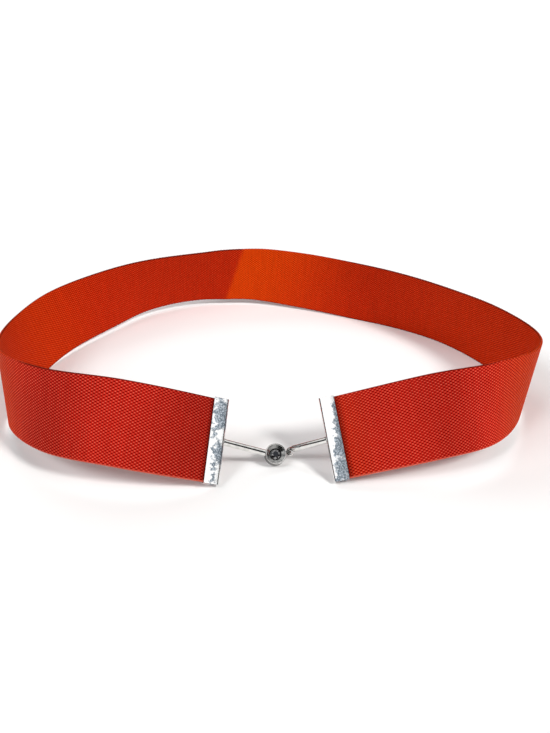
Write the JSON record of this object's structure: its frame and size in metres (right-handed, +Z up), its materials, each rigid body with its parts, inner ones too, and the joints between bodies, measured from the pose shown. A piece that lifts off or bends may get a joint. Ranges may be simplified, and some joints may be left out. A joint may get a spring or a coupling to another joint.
{
  "type": "canvas waist belt with a hook and eye bar clasp",
  "caption": "Woven canvas waist belt closed in a loop and standing on its edge, with folded end clamps, straight bars and a round stone setting that joins them by a hook and eye.",
  "frame": {"origin": "under the middle of the belt, on the surface that it stands on", "axes": "+Z up, +X across the belt to the right clamp's side, +Y from the clasp to the back of the belt"},
  "size_m": [0.294, 0.242, 0.0509],
  "materials": {
    "webbing": "matte plain weave",
    "silver_metal": "bright, slightly uneven plating",
    "dark_stone": "cut and polished"
  },
  "bodies": {
    "root": {"strap": "webbing", "left_clasp": "silver_metal", "right_clasp": "silver_metal", "stone": "dark_stone"}
  },
  "joints": []
}
